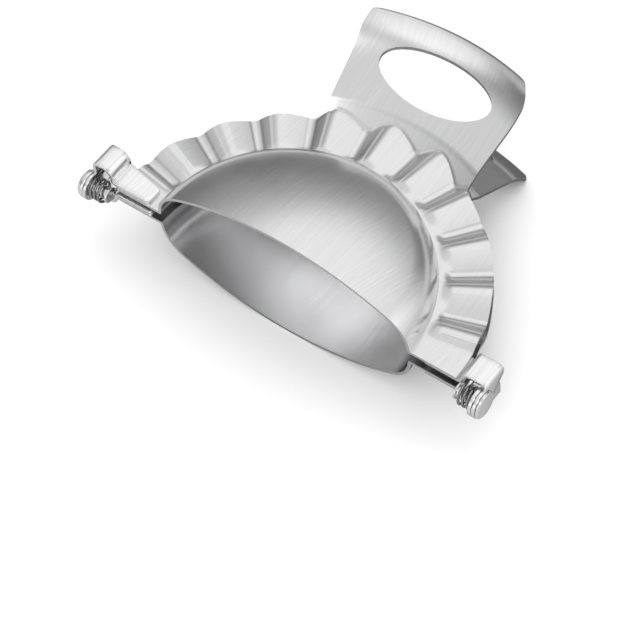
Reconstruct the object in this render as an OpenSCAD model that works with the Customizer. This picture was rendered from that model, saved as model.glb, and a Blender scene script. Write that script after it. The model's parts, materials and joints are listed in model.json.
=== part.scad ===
// Hinged press for filled pastry, pressed from stainless steel sheet.
// Two like leaves with a half dome, a pleated rim and a curled grip face each other,
// and turn on a riveted knuckle with a coiled spring at each end of the straight side.
// The press is drawn shut and lying on its lower leaf, with the hinge line along X.

/* [Rim] */
// Outer radius of the rim, half the width of the opened circle
rim_radius = 47.5; // [46.5:0.5:48.5]
// Clear gap between the two rims when the press is shut
rim_gap = 3; // [2.6:0.1:3.4]
// Thickness of the sheet of both leaves
sheet = 0.8; // [0.6:0.1:0.9]

/* [Pleats] */
// Number of pleats round the rim
pleat_count = 10; // [8:1:12]
// Angle of the half circle that is pleated, the rest stays flat
pleated_angle = 163.5; // [160:0.5:166]
// Height of the pleats from valley to ridge at the rim's outer edge
pleat_height = 2.4; // [1.6:0.1:2.8]
// Share of a pleat's pitch that its steep side takes
riser_share = 0.38; // [0.3:0.01:0.5]
// Width of the rounded crease between two sides of a pleat, at the rim's outer edge
crease_width = 2.5; // [1:0.1:3]

/* [Dome] */
// Radius of the dome's outer wall
dome_radius = 35.2; // [34:0.2:36]
// Height of the dome's crown above the plane where the leaves meet
dome_height = 17.8; // [16.5:0.1:18.2]
// Radius of the broad arc over the crown
crown_radius = 68; // [64:1:72]
// Radius of the arc from the crown down into the wall
shoulder_radius = 9.8; // [9:0.2:11]
// Radius of the hollow corner between the wall and the rim
dome_fillet = 1.5; // [1:0.1:2]

/* [Grip] */
// Distance of the grip's root, where it rises out of the pleat valleys, inside the rim's edge
grip_root_inset = 0.9; // [0.7:0.1:1.5]
// Distance from the root out to the fold
grip_root_length = 4.9; // [4.6:0.1:6]
// Slope of the grip between the root and the fold, in degrees
grip_root_slope = 35; // [33:1:38]
// Slope of the grip past the fold, in degrees
grip_slope = 26; // [24:0.5:28]
// Distance from the fold out to the start of the curl
grip_flat_length = 10.3; // [9:0.1:11.5]
// Radius of the curl's upper face
curl_radius = 17; // [15:0.5:19]
// Half the width of the grip at its root
grip_root_half_width = 20.1; // [19:0.2:21]
// Half the width of the grip near its end
grip_end_half_width = 23; // [22:0.2:24]
// Radius of the grip's two free corners
grip_corner_radius = 5; // [4:0.5:7]
// Radius of the hollow corners between grip and rim
grip_fillet = 3; // [2:0.5:4]
// Distance of the hole's centre beyond the rim's edge
hole_offset = 13.1; // [12.6:0.1:13.6]
// Half the length of the oval hole
hole_half_length = 15.4; // [13:0.2:16]
// Half the width of the oval hole
hole_half_width = 5.8; // [5:0.1:6.2]

/* [Hinge] */
// Distance of the hinge line in front of the leaves' straight edges
pin_offset = 1.2; // [1:0.1:1.6]
// Radius of the rivet's shank
shank_radius = 1.5; // [1.3:0.1:1.7]
// Radial clearance between the shank and the ears
shank_clearance = 0.05; // [0.02:0.01:0.09]
// Gap along the hinge line between the ears and the rivet's head
side_clearance = 0.1; // [0.05:0.01:0.2]
// Radius of the round ends of the ears
ear_radius = 3.6; // [3.3:0.1:3.7]
// Radius of the rivet's head
head_radius = 3.4; // [3:0.1:3.6]
// Thickness of the rivet's head
head_thickness = 0.8; // [0.6:0.1:1.4]
// Radius of the rounded edge of the head
head_edge = 0.5; // [0.2:0.1:0.6]
// Radius of the rivet's clinched inner end
tail_radius = 2; // [1.8:0.1:2.2]
// Thickness of the rivet's clinched inner end
tail_thickness = 0.6; // [0.4:0.1:0.8]

/* [Brackets] */
// Thickness of the bracket's strip
strip_sheet = 0.9; // [0.7:0.05:1]
// Width of the strip
strip_width = 6.8; // [6.4:0.1:8]
// Distance of the strip's near edge behind the leaves' straight edges
strip_setback = 0.2; // [0.1:0.1:0.8]
// Distance of the plates' inner ends from the dome's wall
plate_gap = 3; // [2.6:0.1:3.8]
// Distance that a plate's far edge runs in towards its end
plate_taper = 2.1; // [1:0.1:2.6]
// Radius of the plates' corners
plate_corner_radius = 1; // [0.5:0.1:1.5]
// Distance of the inner ear's inner face beyond the rim's edge
ear_overhang = 6; // [5.9:0.1:6.6]
// Height of the arch above the plane where the leaves meet
arch_height = 7.2; // [6.8:0.1:7.8]
// Distance along the hinge from the arch's inner wall to its ear, over both faces
arch_length = 5.9; // [5.6:0.1:6]
// Radius of the arch's inner shoulder
arch_shoulder = 2.9; // [2.4:0.1:3]
// Outer radius of the bend between the arch and its ear
arch_bend = 1.6; // [1.2:0.1:1.8]
// Outer radius of the foot between the plate and the arch
foot_bend = 1.2; // [1:0.1:1.3]
// Height of the flat box above the plane where the leaves meet
box_height = 5; // [4.9:0.1:5.6]
// Length of the box's flat top, over the bend into the ear
box_length = 6.1; // [5.9:0.1:6.3]
// Distance of the foot of the box's sloped side beyond the rim's edge
box_foot_gap = 0.2; // [0.1:0.1:0.4]
// Outer radius of the bend between the box and its ear
box_bend = 1.3; // [1.1:0.1:1.8]
// Height of an ear's far corner above the plane where the leaves meet
ear_corner_height = 2.5; // [1.5:0.1:2.7]

/* [Springs] */
// Diameter of the spring's wire
wire = 0.7; // [0.6:0.05:0.7]
// Whole turns of the coil, which ends half a turn later
spring_turns = 2; // [1:1:2]
// Distance from one turn to the next
spring_pitch = 1.14; // [1.13:0.01:1.15]
// Radius of the coil at the middle of the wire
spring_radius = 2.45; // [2.35:0.05:2.5]
// Distance from the hinge line back to the ends of the spring's legs
leg_reach = 5.2; // [4.6:0.2:6]
// Gap between a leg's end and the face it bears on
leg_clearance = 0.08; // [0.05:0.01:0.12]

/* [Hidden] */

// Colours of the two finishes
brushed = [0.80, 0.80, 0.81];
bright = [0.72, 0.72, 0.74];

// Smoothness of turned and bent faces
$fn = 144;
arc_step = 6;

// How far cuts run past what they cut
overrun = 4;

// Levels of the rim above the plane where the leaves meet
rim_under = rim_gap / 2;
rim_top = rim_under + sheet;

// Radii of the grip's root, its fold and the start of its curl
grip_root_radius = rim_radius - grip_root_inset;
grip_fold_radius = grip_root_radius + grip_root_length;
curl_start_radius = grip_fold_radius + grip_flat_length;

// Angles of one pleat, of its steep side and of half a crease
pleat_pitch = pleated_angle / pleat_count;
riser_angle = pleat_pitch * riser_share;
crease_angle = asin(crease_width / 2 / rim_radius);

// The pleats run on under the grip to this radius
pleat_reach = grip_root_radius + overrun + sheet;
block_depth = dome_height + overrun;

// Heights of the valleys at the dome and at the grip
dome_valley = rim_top - pleat_height / 2 * dome_radius / rim_radius;
grip_valley = rim_top - pleat_height / 2 * grip_root_radius / rim_radius;

// Centres of the dome's arcs, outside face
crown_centre = [0, dome_height - crown_radius];
shoulder_centre = [dome_radius - shoulder_radius,
    crown_centre.y + sqrt(pow(crown_radius - shoulder_radius, 2)
        - pow(dome_radius - shoulder_radius, 2))];
fillet_centre = [
    shoulder_centre.x + sqrt(pow(shoulder_radius + dome_fillet, 2)
        - pow(dome_valley + dome_fillet - shoulder_centre.y, 2)),
    dome_valley + dome_fillet];

// Grip, upper face: fold, start of the curl and tip
fold_point = [grip_fold_radius,
    grip_valley + (grip_fold_radius - grip_root_radius) * tan(grip_root_slope)];
curl_point = [curl_start_radius,
    fold_point.y + (curl_start_radius - grip_fold_radius) * tan(grip_slope)];
curl_centre = curl_point + curl_radius * [-sin(grip_slope), cos(grip_slope)];
tip_slope = acos((curl_centre.y - dome_height) / curl_radius);
tip_point = curl_centre + curl_radius * [sin(tip_slope), -cos(tip_slope)];
grip_end_radius = tip_point.x + sheet * sin(tip_slope);

// Sides of the grip seen from above: foot, direction, outward normal and centres of the end arcs
side_foot = [grip_root_half_width,
    sqrt(pow(grip_root_radius, 2) - pow(grip_root_half_width, 2))];
side_end = [grip_end_half_width,
    sqrt(pow(grip_end_radius, 2) - pow(grip_end_half_width, 2))];
side = (side_end - side_foot) / norm(side_end - side_foot);
side_out = [side.y, -side.x];
fillet_at = along_side(side_foot + side_out * grip_fillet, rim_radius + grip_fillet);
corner_at = along_side(side_foot - side_out * grip_corner_radius,
    grip_end_radius - grip_corner_radius);

// Hinge: faces along the hinge line, from the middle of the press outwards
plate_start = dome_radius + plate_gap;
inner_ear = rim_radius + ear_overhang;
outer_ear = inner_ear + strip_sheet + side_clearance;
head_start = outer_ear + strip_sheet + side_clearance;
head_end = head_start + head_thickness;
arch_start = inner_ear + strip_sheet - arch_length;
tail_start = arch_start + side_clearance;
box_start = outer_ear + strip_sheet - box_length;
box_foot = rim_radius + box_foot_gap;

// Spring: counts, shares of the leg's curve, place of the coil and faces that the legs bear on
rings_per_turn = 8;
wire_sides = 6;
leg_rings = 7;
leg_back_share = 0.75;
leg_rise_share = 0.2;
coil_turns = spring_turns + 0.5;
coil_length = coil_turns * spring_pitch;
coil_start = inner_ear - side_clearance - wire / 2 - coil_length;
box_face = box_height - strip_sheet - leg_clearance;
arch_face = arch_height - strip_sheet - leg_clearance;

// Place of the leaves' frame in the drawing: base at the crown and the tip of the lower leaf
back_y = grip_end_radius;
front_y = -pin_offset - ear_radius;
centre_y = (front_y + back_y) / 2;

// Points on an arc from one angle to another, turning either way
function arc(centre, radius, from, to) =
    let (steps = max(1, ceil(abs(to - from) / arc_step)))
    [for (i = [0 : steps]) let (a = from + (to - from) * i / steps)
        centre + radius * [cos(a), sin(a)]];

// Point that lies at a radius, straight along the grip's side from a start
function along_side(start, radius) =
    start + side * (-(start * side) + sqrt(pow(start * side, 2) - start * start + pow(radius, 2)));

// Direction of a slope and its left-hand normal
function along(slope) = [cos(slope), sin(slope)];
function across(slope) = [-sin(slope), cos(slope)];

// Level of the pleats, from -1 in a valley to 1 on a ridge, at each crease from left to right
function creases() = concat(
    [[180, 0], [90 + pleated_angle / 2, 0]],
    [for (k = [0 : pleat_count - 1])
        let (ridge = 90 + pleated_angle / 2 - (pleat_pitch + riser_angle) / 2 - k * pleat_pitch)
        each [[ridge + riser_angle, -1], [ridge, 1]]],
    [[90 - pleated_angle / 2, 0], [0, 0]]
);

// The same with each inner crease rounded by three points
function rounded_creases() =
    let (c = creases(), last = len(c) - 1)
    [for (i = [0 : last])
        if (i == 0 || i == last) c[i]
        else
            let (
                before = c[i] + (c[i - 1] - c[i]) * crease_angle / (c[i - 1][0] - c[i][0]),
                after = c[i] + (c[i + 1] - c[i]) * crease_angle / (c[i][0] - c[i + 1][0])
            )
            each [before, (before + 2 * c[i] + after) / 4, after]];

// Solid under the pleated rim: a fan of flat facets that meet on the axis
module pleat_block(inset) {
    bends = rounded_creases();
    n = len(bends);
    level = rim_top - inset;
    swing = pleat_height / 2 * pleat_reach / rim_radius;
    crest = [for (b = bends)
        [pleat_reach * cos(b[0]), pleat_reach * sin(b[0]), level + swing * b[1]]];
    foot = [for (b = bends) [pleat_reach * cos(b[0]), pleat_reach * sin(b[0]), -block_depth]];
    polyhedron(
        points = concat([[0, 0, level], [0, 0, -block_depth]], crest, foot),
        faces = concat(
            [for (i = [0 : n - 2]) [0, 2 + i, 3 + i]],
            [for (i = [0 : n - 2]) [1, n + 3 + i, n + 2 + i]],
            [for (i = [0 : n - 2]) [2 + i, n + 2 + i, n + 3 + i, 3 + i]],
            [[0, 1, n + 2, 2], [1, 0, n + 1, 2 * n + 1]]
        )
    );
}

// Solid under the dome, with the hollow corner round its foot
module dome_block(inset) {
    crown_end = atan2(shoulder_centre.y - crown_centre.y, shoulder_centre.x);
    wall_end = atan2(fillet_centre.y - shoulder_centre.y, fillet_centre.x - shoulder_centre.x);
    rotate_extrude()
        polygon(concat(
            [[0, -block_depth]],
            arc(crown_centre, crown_radius - inset, 90, crown_end),
            arc(shoulder_centre, shoulder_radius - inset, crown_end, wall_end),
            arc(fillet_centre, dome_fillet + inset, wall_end + 180, 270),
            [[fillet_centre.x, -block_depth]]
        ));
}

// Solid under the grip; run_out carries its face on past the tip, which is cut square
module grip_block(inset, run_out) {
    root = [grip_root_radius, grip_valley] - across(grip_root_slope) * inset;
    root_start = root - along(grip_root_slope) * overrun;
    turn = (grip_root_slope + grip_slope) / 2;
    fold = fold_point - across(turn) * inset / cos((grip_root_slope - grip_slope) / 2);
    tip = tip_point - across(tip_slope) * inset;
    beyond = tip + (run_out ? along(tip_slope) : -across(tip_slope)) * 2 * overrun;
    back = beyond.x + (run_out ? 2 * overrun : 0);
    rotate_extrude()
        polygon(concat(
            [[root_start.x, -block_depth], root_start, fold],
            arc(curl_centre, curl_radius + inset, grip_slope - 90, tip_slope - 90),
            [beyond, [back, beyond.y], [back, -block_depth]]
        ));
}

// The grip rises within this wedge only, which ends where the outline leaves the rim
module grip_wedge() {
    out = fillet_at / fillet_at.y * (grip_end_radius + 3 * overrun);
    translate([0, 0, -block_depth])
        linear_extrude(height = 2 * block_depth)
        polygon([[0, 0], out, [-out.x, out.y]]);
}

module envelope(inset, run_out) {
    pleat_block(inset);
    dome_block(inset);
    intersection() {
        grip_block(inset, run_out);
        grip_wedge();
    }
}

// Right half of the leaf's outline seen from above, from the straight edge to the grip's end
function half_outline() =
    let (
        fillet_angle = atan2(fillet_at.y, fillet_at.x),
        corner_angle = atan2(corner_at.y, corner_at.x),
        side_angle = atan2(side_out.y, side_out.x)
    )
    concat(
        arc([0, 0], rim_radius, 0, fillet_angle),
        arc(fillet_at, grip_fillet, fillet_angle + 180, side_angle + 180),
        arc(corner_at, grip_corner_radius, side_angle, corner_angle),
        arc([0, 0], grip_end_radius, corner_angle, 90)
    );

module leaf_outline() {
    half = half_outline();
    difference() {
        polygon(concat(half, [for (i = [len(half) - 2 : -1 : 0]) [-half[i].x, half[i].y]]));
        translate([0, rim_radius + hole_offset])
            polygon([for (a = [0 : arc_step : 360 - arc_step])
                [hole_half_length * cos(a), hole_half_width * sin(a)]]);
    }
}

// The leaf above the plane where the two meet
module leaf() {
    difference() {
        intersection() {
            envelope(0, false);
            linear_extrude(height = dome_height + overrun) leaf_outline();
        }
        envelope(sheet, true);
    }
}

// Brackets, drawn at the right-hand end of the upper leaf

// Ear seen along the hinge line: wide under the bend, round about the rivet
module ear_outline(top) {
    near = strip_setback;
    far = strip_setback + strip_width;
    pin = [-pin_offset, 0];
    corner = [far, ear_corner_height];
    under = atan2(corner.y, far - pin.x) - acos(ear_radius / norm(corner - pin));
    difference() {
        union() {
            translate(pin) circle(ear_radius);
            polygon([
                pin,
                pin + ear_radius * [cos(under), sin(under)],
                corner,
                [far, top],
                [near, top],
                [near, 0]
            ]);
        }
        translate(pin) circle(shank_radius + shank_clearance);
    }
}

// Flat ear from a bend down to the hinge line
module ear(start, top) {
    translate([start, 0, 0])
        rotate([90, 0, 90])
        linear_extrude(height = strip_sheet) ear_outline(top);
}

// Strip bent to a profile of distance along the hinge and height
module bent_strip(profile) {
    translate([0, strip_setback + strip_width, 0])
        rotate([90, 0, 0])
        linear_extrude(height = strip_width) polygon(profile);
}

// Cuts the free end of a plate: a rounded near corner, and a far edge that runs in from the foot
module plate_cuts(level, foot) {
    r = plate_corner_radius;
    far = strip_setback + strip_width;
    before = plate_start - overrun;
    taper = atan2(plate_taper, foot - plate_start);
    near_centre = [plate_start + r, strip_setback + r];
    far_centre = [plate_start + r, far - plate_taper + r * tan(taper) - r / cos(taper)];
    translate([0, 0, level - overrun])
        linear_extrude(height = strip_sheet + 2 * overrun) {
            polygon(concat(
                arc(near_centre, r, 180, 270),
                [[near_centre.x, strip_setback - overrun], [before, strip_setback - overrun],
                    [before, near_centre.y]]
            ));
            polygon(concat(
                arc(far_centre, r, 90 + taper, 180),
                [[before, far_centre.y], [before, far + overrun], [foot, far + overrun], [foot, far]]
            ));
        }
}

// Bracket whose plate lies on the leaf's outside, with a round arch and the inner ear
module arch_bracket() {
    plate = rim_top;
    ear_out = inner_ear + strip_sheet;
    foot_inner = foot_bend - strip_sheet;
    shoulder_inner = arch_shoulder - strip_sheet;
    bend_inner = arch_bend - strip_sheet;
    low = [arch_start - foot_inner, plate + foot_bend];
    shoulder = [arch_start + arch_shoulder, arch_height - arch_shoulder];
    bend = [ear_out - arch_bend, arch_height - arch_bend];
    ear_top = bend.y - strip_sheet;
    difference() {
        bent_strip(concat(
            [[plate_start, plate]],
            arc(low, foot_bend, 270, 360),
            arc(shoulder, shoulder_inner, 180, 90),
            arc(bend, bend_inner, 90, 0),
            [[inner_ear, ear_top], [ear_out, ear_top]],
            arc(bend, arch_bend, 0, 90),
            arc(shoulder, arch_shoulder, 90, 180),
            arc(low, foot_inner, 360, 270),
            [[plate_start, plate + strip_sheet]]
        ));
        plate_cuts(plate, low.x);
    }
    ear(inner_ear, ear_top);
}

// Bracket whose plate lies under the leaf, with a flat box and the outer ear
module box_bracket() {
    plate = rim_under - strip_sheet;
    ear_out = outer_ear + strip_sheet;
    rise = box_height - strip_sheet - plate;
    slope = atan2(rise, box_start - box_foot);
    lean = strip_sheet * tan(slope / 2);
    bend_inner = box_bend - strip_sheet;
    bend = [ear_out - box_bend, box_height - box_bend];
    ear_top = bend.y - strip_sheet;
    difference() {
        bent_strip(concat(
            [[plate_start, plate], [box_foot + lean, plate],
                [box_start + lean, box_height - strip_sheet]],
            arc(bend, bend_inner, 90, 0),
            [[outer_ear, ear_top], [ear_out, ear_top]],
            arc(bend, box_bend, 0, 90),
            [[box_start, box_height], [box_foot, rim_under], [plate_start, rim_under]]
        ));
        plate_cuts(plate, box_foot);
    }
    ear(outer_ear, ear_top);
}

// Rivet at the right-hand end: head outside, shank, clinched end inside
module rivet() {
    translate([0, -pin_offset, 0])
        rotate([0, 90, 0]) {
            translate([0, 0, head_start])
                rotate_extrude()
                polygon(concat(
                    [[0, 0], [head_radius, 0]],
                    arc([head_radius - head_edge, head_thickness - head_edge], head_edge, 0, 90),
                    [[0, head_thickness]]
                ));
            translate([0, 0, tail_start]) cylinder(r = shank_radius, h = head_start - tail_start);
            translate([0, 0, tail_start]) cylinder(r = tail_radius, h = tail_thickness);
        }
}

// Spring at the right-hand end, where the box is above and the arch below

// Leg from the coil back to the inside of a bracket, meeting it square
function leg(x, face) =
    let (
        a = [x, -pin_offset, spring_radius],
        d = [x, leg_reach - pin_offset, face - wire],
        b = [x, -pin_offset + (d.y - a.y) * leg_back_share, spring_radius],
        c = [x, d.y, spring_radius + (d.z - a.z) * leg_rise_share]
    )
    concat(
        [for (i = [1 : leg_rings]) let (t = i / leg_rings, s = 1 - t)
            s * s * s * a + 3 * s * s * t * b + 3 * s * t * t * c + t * t * t * d],
        [[x, d.y, face]]
    );

function spring_path() =
    let (
        upper = leg(coil_start, box_face),
        lower = leg(coil_start + coil_length, arch_face),
        rings = coil_turns * rings_per_turn
    )
    concat(
        [for (i = [len(upper) - 1 : -1 : 0]) upper[i]],
        [for (i = [0 : rings]) let (a = 90 + 360 * i / rings_per_turn)
            [coil_start + spring_pitch * i / rings_per_turn,
                -pin_offset + spring_radius * cos(a), spring_radius * sin(a)]],
        [for (p = lower) [p.x, p.y, -p.z]]
    );

// Direction of a path at one of its points
function heading(path, i) =
    let (v = path[min(i + 1, len(path) - 1)] - path[max(i - 1, 0)])
    v / norm(v);

// Tube of round wire along a path that never runs along X
module wire_tube(path) {
    n = len(path);
    points = [for (i = [0 : n - 1])
        let (
            t = heading(path, i),
            flat = [1, 0, 0] - t.x * t,
            u = flat / norm(flat),
            v = cross(t, u)
        )
        for (k = [0 : wire_sides - 1]) let (a = 360 * k / wire_sides)
            path[i] + wire / 2 * (cos(a) * u + sin(a) * v)];
    sides = [for (i = [0 : n - 2]) for (k = [0 : wire_sides - 1])
        let (
            p = i * wire_sides + k,
            q = i * wire_sides + (k + 1) % wire_sides
        )
        each [[p, p + wire_sides, q], [q, p + wire_sides, q + wire_sides]]];
    first = [for (k = [1 : wire_sides - 2]) [0, k, k + 1]];
    end = (n - 1) * wire_sides;
    last = [for (k = [1 : wire_sides - 2]) [end, end + k + 1, end + k]];
    polyhedron(points = points, faces = concat(first, sides, last));
}

// Least gap of the wire to itself, between points at least half a turn apart
function self_gap(path) =
    let (skip = rings_per_turn / 2 + 1)
    min([for (i = [0 : len(path) - 1 - skip]) for (j = [i + skip : len(path) - 1])
        norm(path[i] - path[j])]) - wire;

module spring() {
    wire_tube(spring_path());
}

// Stands the leaves' frame on the ground
module stand() {
    translate([0, -centre_y, dome_height]) children();
}

// Turns a piece of the upper leaf over to the lower one, which swaps left and right
module turned_over() {
    rotate([0, 180, 0]) children();
}

module lower_leaf() {
    color(brushed) stand() turned_over() leaf();
}

module upper_leaf() {
    color(brushed) stand() leaf();
}

module lower_left_bracket() {
    color(bright) stand() turned_over() box_bracket();
}

module lower_right_bracket() {
    color(bright) stand() turned_over() mirror([1, 0, 0]) arch_bracket();
}

module upper_left_bracket() {
    color(bright) stand() mirror([1, 0, 0]) arch_bracket();
}

module upper_right_bracket() {
    color(bright) stand() box_bracket();
}

module left_rivet() {
    color(bright) stand() turned_over() rivet();
}

module right_rivet() {
    color(bright) stand() rivet();
}

module left_spring() {
    color(bright) stand() turned_over() spring();
}

module right_spring() {
    color(bright) stand() spring();
}

echo(least_gap_of_spring_to_itself = self_gap(spring_path()));

lower_leaf();
upper_leaf();
lower_left_bracket();
lower_right_bracket();
upper_left_bracket();
upper_right_bracket();
left_rivet();
right_rivet();
left_spring();
right_spring();
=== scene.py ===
"""Looks of a hinged press for filled pastry, built as a Blender add-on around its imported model.

The press lies shut on its lower leaf: two like leaves pressed from stainless sheet, each with
a half dome, a pleated rim and a curled grip, on a riveted knuckle with a coiled spring at each
end of the straight side.
"""

import json
from math import acos, asin, atan2, ceil, cos, hypot, pi, radians, sin, sqrt, tan

import bpy
import numpy as np
from bpy.props import FloatProperty, FloatVectorProperty, IntProperty, PointerProperty
from mathutils import Matrix, Vector


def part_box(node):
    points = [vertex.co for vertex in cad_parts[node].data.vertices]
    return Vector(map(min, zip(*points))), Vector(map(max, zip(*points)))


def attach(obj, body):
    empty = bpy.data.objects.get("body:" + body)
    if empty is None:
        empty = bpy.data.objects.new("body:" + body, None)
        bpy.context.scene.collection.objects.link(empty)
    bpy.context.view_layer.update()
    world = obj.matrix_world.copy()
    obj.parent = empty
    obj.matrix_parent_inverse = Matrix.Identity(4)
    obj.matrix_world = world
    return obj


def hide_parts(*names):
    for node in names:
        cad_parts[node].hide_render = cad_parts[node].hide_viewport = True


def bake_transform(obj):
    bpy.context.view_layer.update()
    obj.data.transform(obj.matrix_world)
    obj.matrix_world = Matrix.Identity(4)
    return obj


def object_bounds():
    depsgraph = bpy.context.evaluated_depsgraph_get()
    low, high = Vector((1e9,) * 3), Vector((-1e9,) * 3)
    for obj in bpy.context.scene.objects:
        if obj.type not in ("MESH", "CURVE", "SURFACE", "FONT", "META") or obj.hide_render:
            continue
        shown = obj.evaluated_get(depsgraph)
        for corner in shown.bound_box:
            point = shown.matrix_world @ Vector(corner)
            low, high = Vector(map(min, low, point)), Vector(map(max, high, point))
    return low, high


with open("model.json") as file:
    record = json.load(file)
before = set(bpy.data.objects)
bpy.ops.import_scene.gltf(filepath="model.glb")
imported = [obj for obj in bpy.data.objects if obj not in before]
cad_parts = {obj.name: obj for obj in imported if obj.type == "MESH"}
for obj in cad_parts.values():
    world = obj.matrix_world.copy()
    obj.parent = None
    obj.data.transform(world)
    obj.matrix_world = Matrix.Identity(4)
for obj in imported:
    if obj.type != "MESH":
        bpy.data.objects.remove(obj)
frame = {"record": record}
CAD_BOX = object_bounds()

bl_info = {
    "name": "Pastry press looks",
    "version": (1, 0, 0),
    "blender": (4, 5, 0),
    "location": "3D View > Sidebar > Press",
    "description": "Models and finishes the pieces of a hinged pastry press",
    "category": "Object",
}

MM = 0.001

# Distances within which points are merged: in a leaf, in a turned or wound piece, in a strip
LEAF_WELD = 0.001 * MM
ROUND_WELD = 0.002 * MM
STRIP_WELD = 0.01 * MM

# Angles between faces past which an edge is shaded sharp
LEAF_SHARP = radians(28)
HINGE_SHARP = radians(35)
WIRE_SHARP = radians(50)

# Angle between faces past which a bracket's edge is softened, and the largest step of a fold
SOFTEN_PAST = radians(40)
FOLD_STEP = radians(7.5)

FLOOR_SIZE = 6.0


def length(name, millimetres, description):
    """A length in the panel, given here in millimetres."""
    return FloatProperty(
        name=name, description=description, default=millimetres * MM,
        min=0.0, precision=5, subtype="DISTANCE", unit="LENGTH",
    )


def turn(name, angle, description):
    """An angle in the panel, given here in degrees."""
    return FloatProperty(
        name=name, description=description, default=radians(angle), subtype="ANGLE", unit="ROTATION",
    )


def share(name, value, description):
    """A number from 0 to 1 in the panel."""
    return FloatProperty(
        name=name, description=description, default=value, min=0.0, max=1.0, subtype="FACTOR",
    )


def colour(name, rgb, description):
    """A colour in the panel."""
    return FloatVectorProperty(
        name=name, description=description, default=rgb, min=0.0, max=1.0, size=3, subtype="COLOR",
    )


class PressLeafSizes(bpy.types.PropertyGroup):
    """Sizes of one leaf, whose straight side faces the hinge."""

    rim_radius: length("Rim radius", 47.5, "Outer radius of the pleated rim")
    rim_gap: length("Rim gap", 3.0, "Clear gap between the two rims when the press is shut")
    sheet: length("Sheet", 0.8, "Thickness of the leaf's sheet")
    pleat_count: IntProperty(name="Pleats", description="Number of pleats", default=10, min=1)
    pleated_angle: turn("Pleated angle", 163.5, "Angle of the half circle that is pleated")
    pleat_height: length("Pleat height", 2.4, "Height from valley to ridge at the rim's edge")
    riser_share: share("Riser share", 0.38, "Share of a pleat's pitch that its steep side takes")
    ridge_width: length("Ridge width", 3.0, "Width of the rounded top of a pleat")
    valley_width: length("Valley width", 2.4, "Width of the rounded bottom of a pleat")
    pleat_bulge: share("Pleat bulge", 0.16, "How far the sides of the pleats swell, of half the height")
    ring_start: length("Ring start", 0.7, "Flat ring round the dome: where the pleats begin")
    ring_fade: length("Ring fade", 2.6, "Distance in which the pleats rise to their full height")
    dome_radius: length("Dome radius", 35.2, "Radius of the dome's outer wall")
    dome_height: length("Dome height", 17.8, "Height of the crown above the plane where the leaves meet")
    crown_radius: length("Crown radius", 68.0, "Radius of the broad arc over the crown")
    shoulder_radius: length("Shoulder radius", 9.8, "Radius of the arc from the crown into the wall")
    dome_fillet: length("Dome fillet", 1.5, "Radius of the hollow corner between wall and rim")
    grip_root_radius: length("Grip root", 46.6, "Radius at which the grip rises out of the valleys")
    grip_fold_radius: length("Grip fold", 51.5, "Radius of the fold above the root")
    fold_width: length("Fold width", 1.6, "Width of the rounded fold above the root")
    fold_step: length("Fold step", 0.22, "Height of the small step that the stamp leaves at the fold")
    groove_width: length("Groove width", 0.35, "Width of the groove where the pleats meet the grip")
    groove_depth: length("Groove depth", 0.14, "Depth of that groove")
    grip_root_slope: turn("Root slope", 35.0, "Slope of the grip between root and fold")
    grip_slope: turn("Grip slope", 26.0, "Slope of the grip past the fold")
    curl_start_radius: length("Curl start", 61.8, "Radius at which the grip starts to curl up")
    curl_radius: length("Curl radius", 17.0, "Radius of the curl's upper face")
    grip_root_half_width: length("Half root width", 20.1, "Half the width of the grip at its root")
    grip_end_half_width: length("Half end width", 23.0, "Half the width of the grip near its end")
    grip_corner_radius: length("Grip corners", 5.0, "Radius of the grip's free corners")
    grip_fillet: length("Grip fillet", 3.0, "Radius of the hollow corners between grip and rim")
    hole_centre: length("Hole centre", 60.6, "Distance of the oval hole from the straight side")
    hole_half_length: length("Half hole length", 15.4, "Half the length of the oval hole")
    hole_half_width: length("Half hole width", 5.8, "Half the width of the oval hole")


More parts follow.
